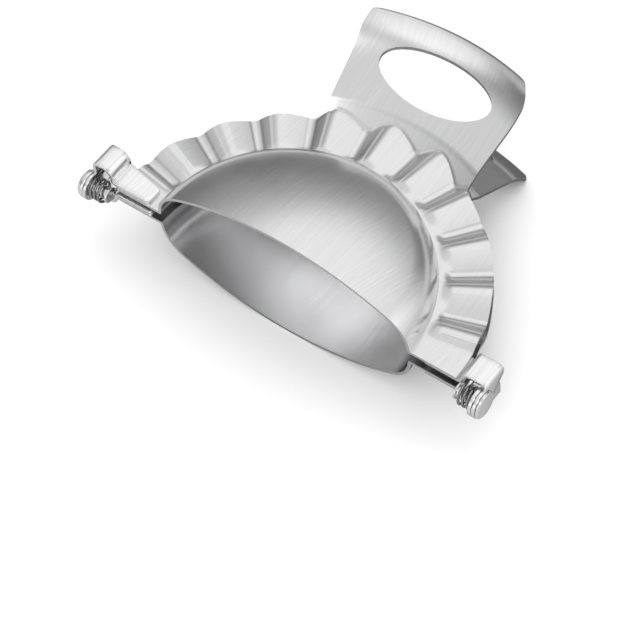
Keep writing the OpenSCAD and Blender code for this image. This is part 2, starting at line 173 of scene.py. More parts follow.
class PressHingeSizes(bpy.types.PropertyGroup):
    """Sizes of the brackets, rivets and springs."""

    pin_offset: length("Pin offset", 1.2, "Distance of the hinge line in front of the straight edges")
    shank_radius: length("Shank", 1.5, "Radius of the rivet's shank")
    bore_radius: length("Bore", 1.55, "Radius of the bore in an ear")
    side_clearance: length("Side clearance", 0.1, "Gap along the hinge line between the pieces")
    ear_radius: length("Ear radius", 3.6, "Radius of the round ends of the ears")
    ear_overhang: length("Ear overhang", 6.0, "Distance of the inner ear beyond the rim's edge")
    ear_corner_height: length("Ear corner", 2.5, "Height of an ear's far corner")
    strip_sheet: length("Strip sheet", 0.9, "Thickness of the bracket's strip")
    strip_width: length("Strip width", 6.8, "Width of the bracket's strip")
    strip_setback: length("Strip setback", 0.2, "Distance of the strip behind the straight edges")
    plate_gap: length("Plate gap", 3.0, "Distance of a plate's free end from the dome's wall")
    plate_taper: length("Plate taper", 2.1, "Distance that a plate's far edge runs in")
    plate_corner: length("Plate corners", 1.0, "Size of a plate's rounded corners")
    foot_radius: length("Foot", 0.75, "Radius of the arch's foot, at the middle of the strip")
    arch_height: length("Arch height", 7.2, "Height of the arch above the plane where the leaves meet")
    arch_length: length("Arch length", 5.9, "Length of the arch over both faces")
    arch_shoulder: length("Arch shoulder", 2.9, "Radius of the arch's inner shoulder")
    arch_bend: length("Arch bend", 1.6, "Radius of the bend between the arch and its ear")
    box_height: length("Box height", 5.0, "Height of the box above the plane where the leaves meet")
    box_length: length("Box length", 6.1, "Length of the box's flat top")
    box_foot_gap: length("Box foot", 0.2, "Distance of the foot of the slope beyond the rim's edge")
    box_fold: length("Box folds", 0.7, "Radius of the folds of the slope, at the middle of the strip")
    box_bend: length("Box bend", 1.3, "Radius of the bend between the box and its ear")
    soft_edge: length("Soft edge", 0.14, "Width of the rounded edges of the pieces")
    head_radius: length("Head radius", 3.4, "Radius of the rivet's head")
    head_thickness: length("Head thickness", 0.8, "Thickness of the rivet's head")
    head_crown: length("Head crown", 0.16, "Height that the head is crowned")
    head_edge: length("Head edge", 0.42, "Radius of the head's rounded edge")
    tail_radius: length("Tail radius", 2.0, "Radius of the rivet's clinched end")
    tail_thickness: length("Tail thickness", 0.6, "Thickness of the rivet's clinched end")
    wire: length("Wire", 0.7, "Diameter of the spring's wire")
    coil_turns: FloatProperty(name="Turns", description="Turns of a spring's coil", default=2.5, min=0.5)
    coil_pitch: length("Pitch", 1.14, "Distance from one turn to the next")
    coil_radius: length("Coil radius", 2.45, "Radius of the coil at the middle of the wire")
    leg_reach: length("Leg reach", 5.2, "Distance from the hinge line back to the legs' ends")
    leg_clearance: length("Leg clearance", 0.08, "Gap between a leg's end and the face it bears on")


class PressFinish(bpy.types.PropertyGroup):
    """Colours of the steel."""

    leaf_colour: colour("Leaf steel", (0.74, 0.74, 0.745), "Colour of the brushed leaves")
    edge_colour: colour("Sheared edge", (0.66, 0.66, 0.66), "Colour of the sheared edges")
    bracket_colour: colour("Bracket steel", (0.84, 0.84, 0.84), "Colour of the brackets")
    rivet_colour: colour("Rivet steel", (0.8, 0.8, 0.805), "Colour of the rivets")
    spring_colour: colour("Spring steel", (0.30, 0.30, 0.31), "Colour of the spring wire")


class PressStage(bpy.types.PropertyGroup):
    """Floor, lights and camera."""

    floor_colour: colour("Floor", (0.97, 0.97, 0.97), "Colour of the floor")
    # Painted shade: the floor that the steel mirrors is darker than the floor seen straight on, deepest under
    # the press and paler further off
    painted_shade_share: share("Near floor", 0.14, "Mirrored brightness of the floor under the press")
    far_share: share("Far floor", 0.62, "Mirrored brightness of the far floor")
    painted_shade_middle: FloatVectorProperty(
        name="Near floor middle", description="The middle of the dimmer floor",
        default=(0.0, 45 * MM, 0.0), subtype="TRANSLATION", unit="LENGTH",
    )
    near_floor: length("Near floor reach", 60.0, "Distance from that middle where the floor starts to pale")
    far_floor: length("Far floor reach", 110.0, "Distance from that middle where the floor is palest")
    tent_strength: FloatProperty(name="Tent", description="Strength of the light tent", default=0.84, min=0)
    floor_light: FloatProperty(
        name="Floor light", description="How much more of the tent's light falls on the floor",
        default=0.7, min=0,
    )
    camera_azimuth: turn("Azimuth", 41.64, "Direction of the camera round the press")
    camera_elevation: turn("Elevation", 54.76, "Height of the camera above the horizon")
    camera_roll: turn("Roll", -6.62, "Turn of the camera about its own axis")
    camera_distance: length("Distance", 610.3, "Distance of the camera from the point it looks at")
    focal_length: FloatProperty(
        name="Focal length", description="Focal length on a 36 mm wide frame, in mm", default=154.15,
    )
    aim: FloatVectorProperty(
        name="Aim", description="The point that the camera looks at",
        default=(12.61 * MM, -35.66 * MM, 17.8 * MM), subtype="TRANSLATION", unit="LENGTH",
    )


# The light tent: brightness at rising heights from the horizon, 0, to overhead, 1
TENT_STOPS = ((0.0, 0.16), (0.17, 0.24), (0.3, 0.34), (0.45, 0.48), (0.6, 0.76), (0.75, 1.0), (1.0, 1.2))

# Its glows: direction, cosine off it where the glow starts and where it is full, and brightness
TENT_GLOWS = (
    ((1.0, 0.0, 0.0), 0.3, 0.8, 0.9),
    ((-0.24, -0.96, 0.15), 0.87, 0.96, 1.15),
    ((-0.09, 0.49, 0.87), 0.84, 0.96, 0.3),
    ((0.26, -0.53, 0.81), 0.966, 0.994, 2.4),
    ((0.63, -0.14, 0.76), 0.9, 0.975, -0.9),
)


# Shared modelling steps


def deselect():
    """Leaves edit mode and selects nothing."""
    if bpy.context.object is not None and bpy.context.object.mode != "OBJECT":
        bpy.ops.object.mode_set(mode="OBJECT")
    bpy.ops.object.select_all(action="DESELECT")


def pick(obj):
    """Selects one object alone and makes it the active one."""
    deselect()
    obj.select_set(True)
    bpy.context.view_layer.objects.active = obj
    return obj


def apply_modifier(obj, kind, **settings):
    """Adds a modifier, sets it and applies it."""
    pick(obj)
    modifier = obj.modifiers.new(kind.title(), kind)
    for name, value in settings.items():
        setattr(modifier, name, value)
    bpy.ops.object.modifier_apply(modifier=modifier.name)


def weld_whole(distance):
    """Merges close points of the whole piece in edit mode, faces it outwards and leaves edit mode."""
    bpy.ops.mesh.select_all(action="SELECT")
    bpy.ops.mesh.remove_doubles(threshold=distance)
    bpy.ops.mesh.normals_make_consistent(inside=False)
    bpy.ops.object.mode_set(mode="OBJECT")


def points_of(mesh):
    """The places of a mesh's points as an array."""
    places = np.empty(len(mesh.vertices) * 3, np.float32)
    mesh.vertices.foreach_get("co", places)
    return places.reshape(-1, 3).astype(float)


def place_points(mesh, places):
    """Puts a mesh's points where an array says."""
    mesh.vertices.foreach_set("co", np.asarray(places, np.float32).ravel())
    mesh.update()


def choose(obj, kind, test):
    """Goes into edit mode with only those points (VERT) or edges (EDGE) selected that pass a test."""
    pick(obj)
    bpy.ops.object.mode_set(mode="EDIT")
    bpy.ops.mesh.select_mode(type=kind)
    bpy.ops.mesh.select_all(action="DESELECT")
    bpy.ops.object.mode_set(mode="OBJECT")
    points = obj.data.vertices
    if kind == "VERT":
        for v in points:
            v.select = test(v.co)
    else:
        for e in obj.data.edges:
            e.select = all(test(points[i].co) for i in e.vertices)
    bpy.ops.object.mode_set(mode="EDIT")


def remove_helper(obj):
    """Removes a helper object and its mesh."""
    mesh = obj.data
    bpy.data.objects.remove(obj)
    bpy.data.meshes.remove(mesh)


# The leaf


class LeafForm:
    """Works out the leaf's outer face from its sizes. Z is above the plane where the leaves meet."""

    # Rings of the grid over each stretch of the section, and columns round the half circle
    crown_rings = 22
    shoulder_rings = 20
    foot_rings = 10
    flange_rings = 16
    root_rings = 6
    fold_rings = 8
    slope_rings = 8
    curl_rings = 16
    columns = 420

    # Points by which each arc of the wall's section is measured
    wall_steps = 200

    # How strongly the flange's rings crowd towards the dome, where 0 is evenly
    crowding = 0.6

    # Rings of the groove: distance past the crease and depth, as shares of its width and depth
    groove_rings = ((0.4, 1.0), (0.8, 0.9), (1.6, 0.0))

    # How far the outline runs past the grip's end, so that the cut leaves no sliver
    end_spare = 0.02 * MM

    def __init__(self, s):
        self.s = s
        self.rim_top = s.rim_gap / 2 + s.sheet
        self.pitch = s.pleated_angle / s.pleat_count
        self.riser = self.pitch * s.riser_share
        self.rise = s.pleat_height / 2 / s.rim_radius
        dome_valley = self.rim_top - self.rise * s.dome_radius
        self.grip_valley = self.rim_top - self.rise * s.grip_root_radius
        self.crown_centre = (0.0, s.dome_height - s.crown_radius)
        reach = s.dome_radius - s.shoulder_radius
        lift = sqrt((s.crown_radius - s.shoulder_radius) ** 2 - reach**2)
        self.shoulder_centre = (reach, self.crown_centre[1] + lift)
        fillet_z = dome_valley + s.dome_fillet
        run = sqrt((s.shoulder_radius + s.dome_fillet) ** 2 - (fillet_z - self.shoulder_centre[1]) ** 2)
        self.fillet_centre = (reach + run, fillet_z)
        self.fold_z = self.grip_valley + (s.grip_fold_radius - s.grip_root_radius) * tan(s.grip_root_slope)
        self.curl_z = self.fold_z + (s.curl_start_radius - s.grip_fold_radius) * tan(s.grip_slope)
        self.curl_centre = (
            s.curl_start_radius - s.curl_radius * sin(s.grip_slope),
            self.curl_z + s.curl_radius * cos(s.grip_slope),
        )
        self.tip_slope = acos((self.curl_centre[1] - s.dome_height) / s.curl_radius)
        tip_r = self.curl_centre[0] + s.curl_radius * sin(self.tip_slope)
        self.end_radius = tip_r + s.sheet * sin(self.tip_slope)
        self.outline_half()

    def outline_half(self):
        """Centres and angles of the arcs of the leaf's outline, right half, seen from above."""
        s = self.s
        foot = Vector((s.grip_root_half_width, sqrt(s.grip_root_radius**2 - s.grip_root_half_width**2)))
        end = Vector((s.grip_end_half_width, sqrt(self.end_radius**2 - s.grip_end_half_width**2)))
        side = (end - foot).normalized()
        out = Vector((side.y, -side.x))

        def on_circle(start, radius):
            along = start.dot(side)
            return start + side * (-along + sqrt(along**2 - start.dot(start) + radius**2))

        self.fillet_at = on_circle(foot + out * s.grip_fillet, s.rim_radius + s.grip_fillet)
        self.corner_at = on_circle(foot - out * s.grip_corner_radius, self.end_radius - s.grip_corner_radius)
        self.side_angle = atan2(out.y, out.x)
        self.fillet_angle = atan2(self.fillet_at.y, self.fillet_at.x)
        self.corner_angle = atan2(self.corner_at.y, self.corner_at.x)

    def pleat(self, angle):
        """Level of the pleats at an angle, from -1 in a valley to 1 on a ridge, creases rounded."""
        s = self.s
        first = pi / 2 + s.pleated_angle / 2
        bends = [(pi * 1.1, 0.0, 0.0), (first, 0.0, s.valley_width)]
        for k in range(s.pleat_count):
            ridge = first - (self.pitch + self.riser) / 2 - k * self.pitch
            bends.append((ridge + self.riser, -1.0, s.valley_width))
            bends.append((ridge, 1.0, s.ridge_width))
        bends += [(pi / 2 - s.pleated_angle / 2, 0.0, s.valley_width), (-pi * 0.1, 0.0, 0.0)]
        bends.reverse()
        at = np.array([b[0] for b in bends])
        level = np.array([b[1] for b in bends])
        half = np.array([b[2] for b in bends]) / 2 / s.rim_radius
        shaped = np.interp(angle, at, level)
        slope = np.diff(level) / np.diff(at)
        side = np.clip(np.searchsorted(at, angle) - 1, 0, len(at) - 2)
        across = (angle - at[side]) / (at[side + 1] - at[side])
        pleated = (side > 0) & (side < len(at) - 2)
        shaped = shaped + np.where(pleated, s.pleat_bulge * 4 * across * (1 - across), 0)
        for i in range(1, len(bends) - 1):
            off = angle - at[i]
            near = np.abs(off) < half[i]
            before, after = slope[i - 1], slope[i]
            round_off = level[i] + (after + before) / 2 * off
            round_off += (after - before) * (off**2 / half[i] / 4 + half[i] / 4)
            shaped = np.where(near, round_off, shaped)
        return shaped

    def wall(self):
        """Radius and height along the dome's section, from the crown down to the foot of the fillet."""
        s = self.s
        crown_end = atan2(self.shoulder_centre[1] - self.crown_centre[1], self.shoulder_centre[0])
        wall_end = atan2(
            self.fillet_centre[1] - self.shoulder_centre[1], self.fillet_centre[0] - self.shoulder_centre[0]
        )
        steps = np.linspace(0, 1, self.wall_steps)
        crown = pi / 2 + (crown_end - pi / 2) * steps
        shoulder = crown_end + (wall_end - crown_end) * steps
        fillet = wall_end + pi + (1.5 * pi - wall_end - pi) * steps
        parts = [
            (self.crown_centre, s.crown_radius, crown),
            (self.shoulder_centre, s.shoulder_radius, shoulder[1:]),
            (self.fillet_centre, s.dome_fillet, fillet[1:]),
        ]
        r = np.concatenate([c[0] + radius * np.cos(a) for c, radius, a in parts])
        z = np.concatenate([c[1] + radius * np.sin(a) for c, radius, a in parts])
        run = np.concatenate([[0.0], np.cumsum(np.hypot(np.diff(r), np.diff(z)))])
        return r, z, run, run[len(steps) - 1]

    def grip(self, r):
        """Height of the grip's outer face up to the start of its curl."""
        s = self.s
        low, high = tan(s.grip_root_slope), tan(s.grip_slope)
        off = r - s.grip_fold_radius
        z = self.fold_z + np.where(off < 0, low, high) * off
        half = s.fold_width / 2
        bent = (high + low) / 2 * off + (high - low) * (off**2 / half / 4 + half / 4)
        t = np.clip(off / half / 2 + 0.5, 0, 1)
        fade = 1 - np.clip(off / (s.curl_start_radius - s.grip_fold_radius), 0, 1)
        step = s.fold_step * t * t * (3 - 2 * t) * fade
        return step + np.where(np.abs(off) < half, self.fold_z + bent, z)

    def face(self, angle):
        """Radius and height of the outer face: a row per ring from the crown outwards, a column per angle."""
        s = self.s
        pleat = self.pleat(angle)

        def level(r):
            t = np.clip((r - s.dome_radius - s.ring_start) / s.ring_fade, 0, 1)
            return self.rim_top + self.rise * pleat * r * t * t * (3 - 2 * t)

        wall_r, wall_z, run, crown_run = self.wall()
        gap = wall_z[:, None] - level(wall_r[:, None])
        under = gap < 0
        last = np.where(under.any(0), under.argmax(0), len(run) - 1)
        columns = np.arange(len(angle))
        g0, g1 = gap[last - 1, columns], gap[last, columns]
        part = np.clip(g0 / np.maximum(g0 - g1, 1e-12), 0, 1)
        foot_run = run[last - 1] + (run[last] - run[last - 1]) * np.where(under.any(0), part, 1)
        base_run = foot_run.min() - s.sheet
        rows_r, rows_z = [], []

        def add(r, z):
            rows_r.append(np.broadcast_to(r, angle.shape).astype(float))
            rows_z.append(np.broadcast_to(z, angle.shape).astype(float))

        def add_on_wall(at):
            add(np.interp(at, run, wall_r), np.interp(at, run, wall_z))

        for start, stop, rings in (
            (0.0, crown_run, self.crown_rings),
            (crown_run, base_run, self.shoulder_rings),
            (base_run, foot_run, self.foot_rings),
        ):
            for i in range(rings):
                add_on_wall(start + (stop - start) * i / rings)
        add_on_wall(foot_run)
        foot_r = rows_r[-1]
        root_tan = tan(s.grip_root_slope)
        reach = self.rim_top - self.grip_valley + s.grip_root_radius * root_tan
        crease_r = reach / (root_tan - self.rise * pleat)
        for i in range(1, self.flange_rings + 1):
            t = i / self.flange_rings
            r = foot_r + (crease_r - foot_r) * (self.crowding * t * t + (1 - self.crowding) * t)
            add(r, level(r))
        from_side = np.abs(angle - pi / 2)
        side_off = asin(s.grip_root_half_width / s.grip_root_radius)
        fillet_off = pi / 2 - self.fillet_angle
        t = np.clip((fillet_off - from_side) / (fillet_off - side_off), 0, 1)
        self.raised = t * t * (3 - 2 * t)

        def rise_over(r):
            return level(r) + self.raised * np.maximum(self.grip(r) - level(r), 0)

        for off, dip in self.groove_rings:
            r = crease_r + s.groove_width * off
            add(r, rise_over(r) - self.raised * s.groove_depth * dip)
        groove_end = r
        fold_start = s.grip_fold_radius - s.fold_width / 2
        fold_end = s.grip_fold_radius + s.fold_width / 2
        for start, stop, rings in (
            (groove_end, fold_start, self.root_rings),
            (fold_start, fold_end, self.fold_rings),
            (fold_end, s.curl_start_radius, self.slope_rings),
        ):
            for i in range(1, rings + 1):
                r = np.broadcast_to(start + (stop - start) * i / rings, angle.shape)
                add(r, rise_over(r))
        for i in range(1, self.curl_rings + 1):
            a = s.grip_slope + (self.tip_slope - s.grip_slope) * i / self.curl_rings - pi / 2
            add(
                self.curl_centre[0] + s.curl_radius * cos(a),
                np.where(self.raised > 0, self.curl_centre[1] + s.curl_radius * sin(a), level(0)),
            )
        return np.array(rows_r), np.array(rows_z)

    def rings(self):
        """Number of rings after the crown's middle."""
        inner = self.crown_rings + self.shoulder_rings + self.foot_rings + self.flange_rings
        grip = self.root_rings + self.fold_rings + self.slope_rings + self.curl_rings
        return inner + len(self.groove_rings) + grip

    def outline(self):
        """Points of the leaf's outline, right half, from the straight side to the grip's end."""
        s = self.s

        def arc(centre, radius, start, stop, steps):
            return [
                Vector((centre[0] + radius * cos(a), centre[1] + radius * sin(a)))
                for a in (start + (stop - start) * i / steps for i in range(steps + 1))
            ]

        return (
            arc((0, 0), s.rim_radius, 0, self.fillet_angle, steps=96)
            + arc(self.fillet_at, s.grip_fillet, self.fillet_angle + pi, self.side_angle + pi, steps=16)
            + arc(self.corner_at, s.grip_corner_radius, self.side_angle, self.corner_angle, steps=20)
            + arc((0, 0), self.end_radius + self.end_spare, self.corner_angle, pi / 2, steps=24)
        )


def leaf_sheet(form):
    """The leaf's outer face, a grid laid over dome, rim and grip, not yet cut to its outline."""
    s = form.s
    deselect()
    rings = form.rings()
    bpy.ops.mesh.primitive_grid_add(x_subdivisions=form.columns, y_subdivisions=rings, size=2)
    obj = bpy.context.object
    flat = points_of(obj.data)
    column = np.rint((flat[:, 0] + 1) / 2 * form.columns).astype(int)
    ring = np.rint((flat[:, 1] + 1) / 2 * rings).astype(int)
    angles = pi * (1 - np.arange(form.columns + 1) / form.columns)
    r, z = form.face(angles)
    around = angles[column]
    radius = r[ring, column]
    place_points(obj.data, np.stack([radius * np.cos(around), radius * np.sin(around), z[ring, column]], 1))
    bpy.ops.object.mode_set(mode="EDIT")
    bpy.ops.mesh.select_mode(type="VERT")
    bpy.ops.mesh.select_all(action="SELECT")
    bpy.ops.mesh.remove_doubles(threshold=LEAF_WELD)
    spare = 1.0 * MM
    widest = pi / 2 - form.fillet_angle
    last_ring = s.grip_fold_radius - s.fold_width / 2 + spare / 10
    choose(obj, "VERT", lambda p: hypot(p.x, p.y) > last_ring and abs(atan2(p.x, p.y)) > widest)
    bpy.ops.mesh.delete(type="VERT")
    choose(obj, "VERT", lambda p: abs(p.y) < LEAF_WELD)
    bpy.ops.transform.translate(value=(0, -spare, 0))
    bpy.ops.mesh.select_all(action="DESELECT")
    bpy.ops.object.mode_set(mode="OBJECT")
    return obj


def outline_cutter(name, outline, low, high, given):
    """A tall block with a given outline, to cut the sheet with."""
    deselect()
    bpy.ops.mesh.primitive_circle_add(vertices=len(outline), radius=1, fill_type="NGON")
    obj = bpy.context.object
    obj.name = name
    place_points(obj.data, [(p.x, p.y, low) for p in outline])
    bpy.ops.object.mode_set(mode="EDIT")
    bpy.ops.mesh.select_all(action="SELECT")
    bpy.ops.mesh.extrude_region_move(TRANSFORM_OT_translate={"value": (0, 0, high - low)})
    bpy.ops.mesh.select_all(action="SELECT")
    bpy.ops.mesh.normals_make_consistent(inside=False)
    bpy.ops.object.mode_set(mode="OBJECT")
    obj.data.materials.append(given)
    return obj


def pressed_leaf(form, face_steel, edge_steel):
    """One whole leaf in the upper leaf's place, above the plane where the leaves meet."""
    s = form.s
    leaf = leaf_sheet(form)
    leaf.data.materials.append(face_steel)
    apply_modifier(
        leaf, "SOLIDIFY", thickness=s.sheet, offset=-1.0, use_even_offset=True, use_quality_normals=True,
    )
    right = form.outline()
    whole = right + [Vector((-p.x, p.y)) for p in reversed(right[:-1])]
    overrun = s.sheet * 4
    blank = outline_cutter("blank", whole, -overrun, s.dome_height + overrun, edge_steel)
    oval_points = 120
    oval = [
        Vector((s.hole_half_length * cos(a), s.hole_centre + s.hole_half_width * sin(a)))
        for a in (2 * pi * i / oval_points for i in range(oval_points))
    ]
    punch = outline_cutter("punch", oval, -overrun, s.dome_height + overrun, edge_steel)
    for cutter, operation in ((blank, "INTERSECT"), (punch, "DIFFERENCE")):
        apply_modifier(
            leaf, "BOOLEAN", operation=operation, object=cutter, solver="EXACT", material_mode="TRANSFER",
        )
        remove_helper(cutter)
    pick(leaf)
    bpy.ops.object.shade_smooth_by_angle(angle=LEAF_SHARP)
    return leaf


# The hinge pieces


def start_point(name, place):
    """A new piece that begins as one point, left in edit mode with that point selected."""
    deselect()
    bpy.ops.mesh.primitive_plane_add(size=MM)
    obj = bpy.context.object
    obj.name = obj.data.name = name
    bpy.ops.object.mode_set(mode="EDIT")
    bpy.ops.mesh.select_mode(type="VERT")
    bpy.ops.mesh.select_all(action="SELECT")
    bpy.ops.mesh.merge(type="CENTER")
    bpy.ops.transform.translate(value=place)
    return obj


def draw_on(*step):
    """Extrudes what is selected by one step."""
    bpy.ops.mesh.extrude_region_move(TRANSFORM_OT_translate={"value": step})


def fold(centre, angle):
    """Sweeps the selected edge round a fold that runs along Y. A positive angle folds upwards."""
    steps = max(2, ceil(abs(angle) / FOLD_STEP))
    bpy.ops.mesh.spin(steps=steps, angle=angle, center=(centre[0], 0, centre[1]), axis=(0, 1, 0))


class HingeForm:
    """Works out the hinge pieces at the right-hand end of the upper leaf.

    Y starts at the leaf's straight edge and Z at the plane where the leaves meet.
    """

    # Faces across a strip, points round an ear, steps over a head and round a rivet
    strip_parts = 4
    ear_points = 64
    head_steps = 8
    rivet_steps = 72

    # Points along a spring's leg and on one turn, and the shares that bend the leg
    leg_points = 16
    turn_points = 40
    leg_back_share = 0.75
    leg_rise_share = 0.2

    def __init__(self, leaf, s):
        self.s = s
        self.half = s.strip_sheet / 2
        self.near = s.strip_setback
        self.far = s.strip_setback + s.strip_width
        self.plate_start = leaf.dome_radius + s.plate_gap
        self.rim_under = leaf.rim_gap / 2
        self.rim_top = self.rim_under + leaf.sheet
        self.inner_ear = leaf.rim_radius + s.ear_overhang
        self.outer_ear = self.inner_ear + s.strip_sheet + s.side_clearance
        self.head_start = self.outer_ear + s.strip_sheet + s.side_clearance
        self.head_end = self.head_start + s.head_thickness
        self.arch_start = self.inner_ear + s.strip_sheet - s.arch_length
        self.tail_start = self.arch_start + s.side_clearance
        self.box_start = self.outer_ear + s.strip_sheet - s.box_length
        self.box_foot = leaf.rim_radius + s.box_foot_gap
        self.ear_meet = sqrt(s.ear_radius**2 - (self.near + s.pin_offset) ** 2)
        self.coil_length = s.coil_turns * s.coil_pitch
        self.coil_start = self.inner_ear - s.side_clearance - s.wire / 2 - self.coil_length

    def plate(self, name, height, foot):
        """The strip's flat plate, left in edit mode with its outer edge selected."""
        s = self.s
        narrow = s.strip_width - s.plate_taper
        obj = start_point(name, (self.plate_start, self.near, height))
        for _ in range(self.strip_parts):
            draw_on(0, narrow / self.strip_parts, 0)
        bpy.ops.mesh.select_all(action="SELECT")
        draw_on(foot - self.plate_start, 0, 0)
        bpy.ops.transform.resize(
            value=(1, s.strip_width / narrow, 1), center_override=(foot, self.near, height),
        )
        return obj

    def ear(self, x):
        """The ear's middle face, a ring of faces from the bore to the outline."""
        s = self.s
        pin = (-s.pin_offset, 0.0)
        corner = (self.far - pin[0], s.ear_corner_height)
        start = atan2(self.ear_meet, self.near - pin[0])
        under = atan2(corner[1], corner[0]) - acos(s.ear_radius / hypot(*corner))
        turns = np.linspace(start, 2 * pi + under, self.ear_points)
        outer = [(pin[0] + s.ear_radius * cos(a), s.ear_radius * sin(a)) for a in turns]
        outer.append((self.far, s.ear_corner_height))
        for i in range(self.strip_parts + 1):
            outer.append((self.far - s.strip_width * i / self.strip_parts, self.ear_meet))
        bpy.ops.mesh.primitive_grid_add(x_subdivisions=len(outer) - 1, y_subdivisions=1, size=2)
        obj = bpy.context.object
        flat = points_of(obj.data)
        column = np.rint((flat[:, 0] + 1) / 2 * (len(outer) - 1)).astype(int)
        edge = np.array(outer)[column]
        around = np.arctan2(edge[:, 1], edge[:, 0] - pin[0])
        bore = np.stack([pin[0] + s.bore_radius * np.cos(around), s.bore_radius * np.sin(around)], 1)
        flat_places = np.where(flat[:, 1:2] > 0, edge, bore)
        place_points(obj.data, np.column_stack([np.full(len(flat), x), flat_places]))
        return obj

    def finish(self, strip, ear):
        """Joins strip and ear, rounds the plate's corners and gives the sheet its thickness."""
        s = self.s
        pick(strip)
        ear.select_set(True)
        bpy.ops.object.join()
        corners = [Vector((self.plate_start, y, 0)) for y in (self.near, self.far - s.plate_taper)]
        choose(strip, "VERT", lambda p: min((p.xy - c.xy).length for c in corners) < STRIP_WELD)
        bpy.ops.mesh.bevel(offset=s.plate_corner, segments=5, affect="VERTICES")
        weld_whole(STRIP_WELD)
        apply_modifier(strip, "SOLIDIFY", thickness=s.strip_sheet, offset=0.0, use_even_offset=True)
        apply_modifier(
            strip, "BEVEL", width=s.soft_edge, segments=2, limit_method="ANGLE", angle_limit=SOFTEN_PAST,
        )
        pick(strip)
        bpy.ops.object.shade_smooth_by_angle(angle=HINGE_SHARP)
        return strip

    def arch_bracket(self):
        """Bracket with a round arch, whose plate lies on the leaf and whose ear is the inner one."""
        s = self.s
        level = self.rim_top + self.half
        foot = self.arch_start + self.half - s.foot_radius
        strip = self.plate("arch_bracket", level, foot)
        fold((foot, level + s.foot_radius), pi / 2)
        shoulder = (self.arch_start + s.arch_shoulder, s.arch_height - s.arch_shoulder)
        draw_on(0, 0, shoulder[1] - level - s.foot_radius)
        fold(shoulder, -pi / 2)
        ear_x = self.inner_ear + self.half
        bend = (self.inner_ear + s.strip_sheet - s.arch_bend, s.arch_height - s.arch_bend)
        draw_on(bend[0] - shoulder[0], 0, 0)
        fold(bend, -pi / 2)
        draw_on(0, 0, self.ear_meet - bend[1])
        bpy.ops.object.mode_set(mode="OBJECT")
        deselect()
        return self.finish(strip, self.ear(ear_x))

    def box_bracket(self):
        """Bracket with a flat box, whose plate lies under the leaf and whose ear is the outer one."""
        s = self.s
        level = self.rim_under - self.half
        rise = s.box_height - self.rim_under
        slope = atan2(rise, self.box_start - self.box_foot)
        lean = self.half * tan(slope / 2)
        tangent = s.box_fold * tan(slope / 2)
        foot = self.box_foot + lean - tangent
        strip = self.plate("box_bracket", level, foot)
        fold((foot, level + s.box_fold), slope)
        straight = hypot(rise, self.box_start - self.box_foot) - 2 * tangent
        draw_on(straight * cos(slope), 0, straight * sin(slope))
        crest = self.box_start + lean + tangent
        top = s.box_height - self.half
        fold((crest, top - s.box_fold), -slope)
        bend = (self.outer_ear + s.strip_sheet - s.box_bend, s.box_height - s.box_bend)
        draw_on(bend[0] - crest, 0, 0)
        fold(bend, -pi / 2)
        draw_on(0, 0, self.ear_meet - bend[1])
        bpy.ops.object.mode_set(mode="OBJECT")
        deselect()
        return self.finish(strip, self.ear(self.outer_ear + self.half))

    def rivet(self):
        """Rivet turned about the hinge line: crowned head outside, shank, clinched end inside."""
        s = self.s
        rim = s.head_radius - s.head_edge
        rim_top = self.head_end - s.head_crown
        steps = self.head_steps
        section = [
            (self.head_end - s.head_crown * (i / steps) ** 2, rim * i / steps) for i in range(steps + 1)
        ]
        for i in range(1, steps + 1):
            a = pi / 2 * i / steps
            section.append((rim_top - s.head_edge * (1 - cos(a)), rim + s.head_edge * sin(a)))
        soft = s.soft_edge / 2
        section += [
            (self.head_start + soft, s.head_radius), (self.head_start, s.head_radius - soft),
            (self.head_start, s.shank_radius + soft), (self.head_start - soft, s.shank_radius),
            (self.tail_start + s.tail_thickness, s.shank_radius),
            (self.tail_start + s.tail_thickness, s.tail_radius - soft),
            (self.tail_start + s.tail_thickness - soft, s.tail_radius),
            (self.tail_start + 2 * soft, s.tail_radius), (self.tail_start + soft, s.tail_radius - soft),
            (self.tail_start, s.tail_radius - 3 * soft), (self.tail_start, 0.0),
        ]
        obj = start_point("rivet", (section[0][0], -s.pin_offset, section[0][1]))
        for before, after in zip(section, section[1:]):
            draw_on(after[0] - before[0], 0, after[1] - before[1])
        bpy.ops.mesh.select_all(action="SELECT")
        hinge_line = (0, -s.pin_offset, 0)
        bpy.ops.mesh.spin(steps=self.rivet_steps, angle=2 * pi, center=hinge_line, axis=(1, 0, 0))
        weld_whole(ROUND_WELD)
        pick(obj)
        bpy.ops.object.shade_smooth_by_angle(angle=HINGE_SHARP)
        return obj

    def leg(self, x, face):
        """Points of a spring's leg from the coil back to the inside of a bracket."""
        s = self.s
        a = Vector((x, -s.pin_offset, s.coil_radius))
        d = Vector((x, s.leg_reach - s.pin_offset, face - s.wire))
        b = Vector((x, a.y + (d.y - a.y) * self.leg_back_share, a.z))
        c = Vector((x, d.y, a.z + (d.z - a.z) * self.leg_rise_share))
        points = []
        for i in range(1, self.leg_points + 1):
            t = i / self.leg_points
            u = 1 - t
            points.append(u**3 * a + 3 * u * u * t * b + 3 * u * t * t * c + t**3 * d)
        return points + [Vector((x, d.y, face))]

